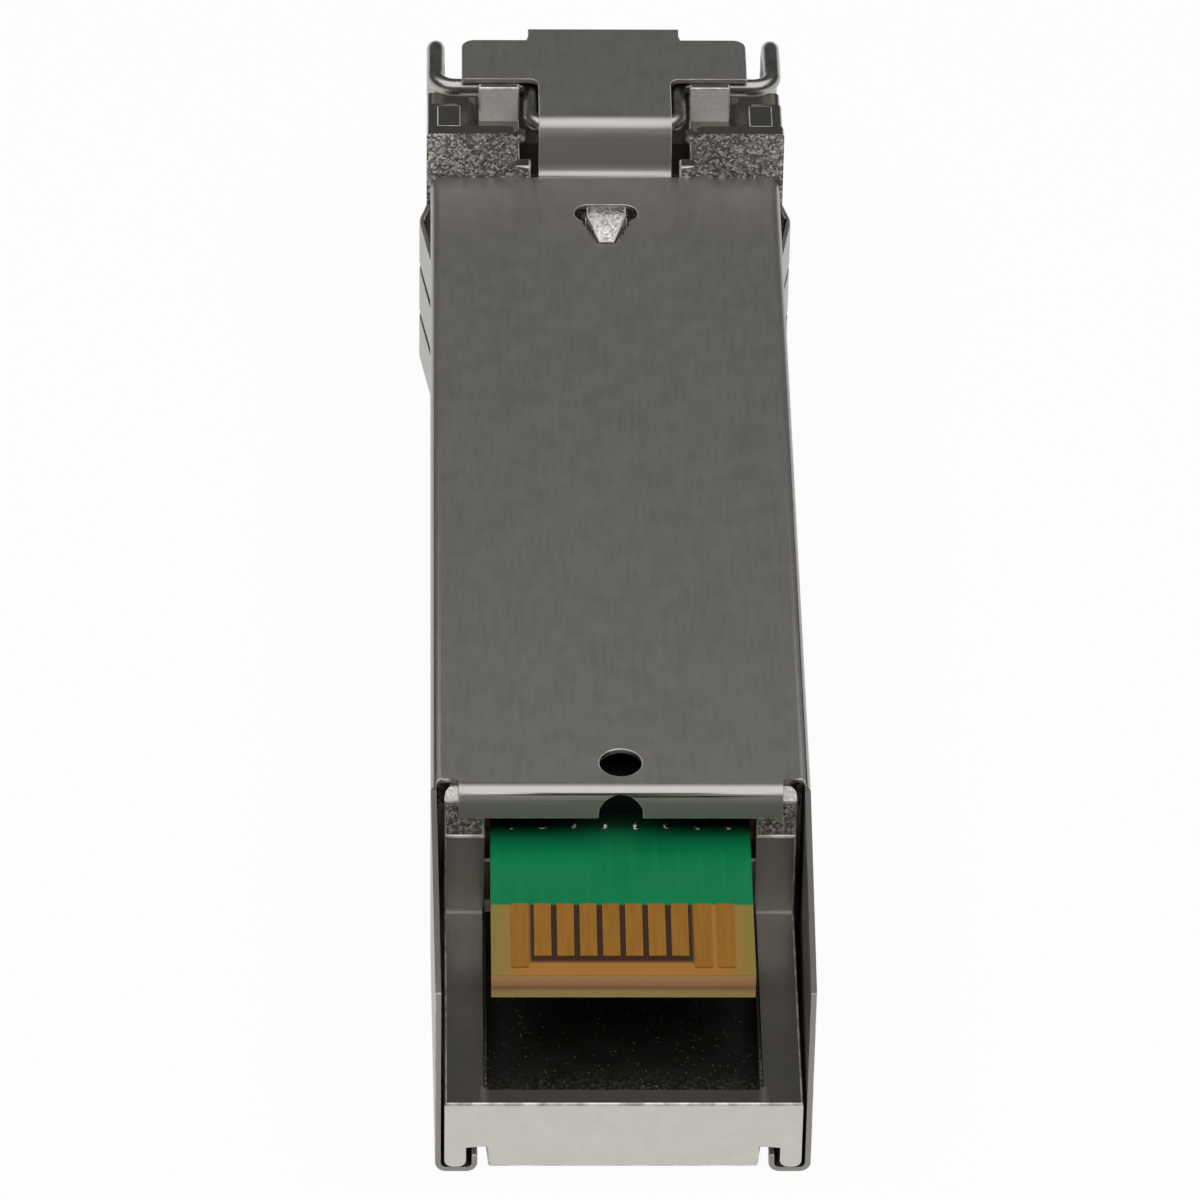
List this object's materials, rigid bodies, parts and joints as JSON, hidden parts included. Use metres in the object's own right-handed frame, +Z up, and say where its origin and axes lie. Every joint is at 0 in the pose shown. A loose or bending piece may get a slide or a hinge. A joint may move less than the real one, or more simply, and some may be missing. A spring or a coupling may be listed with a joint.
{
  "type": "sfp transceiver",
  "caption": "Pluggable optical transceiver module: folded steel sleeve on a cast body, wire bail and latch lever at the nose, edge-connector board in the open rear.",
  "frame": {"origin": "centre of the bounding box's base, on the face that the module lies on", "axes": "+Y along the length towards the optical nose, +Z up out of the latch side, +X to the right seen from the rear"},
  "size_m": [0.0142, 0.0564, 0.0108],
  "materials": {
    "plated_casting": "matte, nickel-plated zinc casting",
    "stainless_sheet": "satin rolled sheet",
    "stainless_wire": "drawn wire",
    "bright_steel": "turned",
    "board_laminate": "green solder mask on glass-epoxy laminate",
    "gold_plating": "gold plating",
    "amber_flex": "polyimide film",
    "white_ceramic": "polished zirconia",
    "black_plastic": "moulded",
    "black_film": "matte film",
    "chip_resin": "moulded resin",
    "resistor_body": "glazed",
    "capacitor_body": "fired ceramic",
    "ferrite_body": "sintered"
  },
  "bodies": {
    "module": {"die_cast_body": "plated_casting", "bottom_cover": "stainless_sheet", "circuit_board": "board_laminate", "transmit_barrel": "bright_steel", "transmit_sleeve": "white_ceramic", "receive_barrel": "bright_steel", "receive_sleeve": "white_ceramic", "latch_hinge_pin": "bright_steel", "latch_spring": "bright_steel", "osa_retainer": "black_plastic", "insulating_film": "black_film", "controller_chip": "chip_resin", "memory_chip": "chip_resin", "driver_chip": "chip_resin", "amplifier_chip": "chip_resin", "chip_resistors": "resistor_body", "chip_capacitors": "capacitor_body", "ferrite_beads": "ferrite_body", "edge_contacts_lower": "gold_plating", "edge_contacts_upper": "gold_plating", "transmit_can": "gold_plating", "transmit_leads": "gold_plating", "transmit_flex": "amber_flex", "receive_can": "gold_plating", "receive_leads": "gold_plating", "receive_flex": "amber_flex"},
    "bail": {"bail_wire": "stainless_wire"},
    "lever": {"latch_lever": "plated_casting"}
  },
  "joints": [
    {"name": "bail_swing", "type": "hinge", "parent": "module", "child": "bail", "pos_m": [0, 0.023, 0.01005], "axis": [1, 0, 0], "range_deg": [0, 90]},
    {"name": "lever_tilt", "type": "hinge", "parent": "module", "child": "lever", "pos_m": [0, 0.007, 0.0076], "axis": [1, 0, 0], "range_deg": [-3.2, 0], "deforming": ["latch_spring"]}
  ],
  "couplings": [
    {"joint": "lever_tilt", "follows": "bail_swing", "ratio": -0.035556}
  ]
}
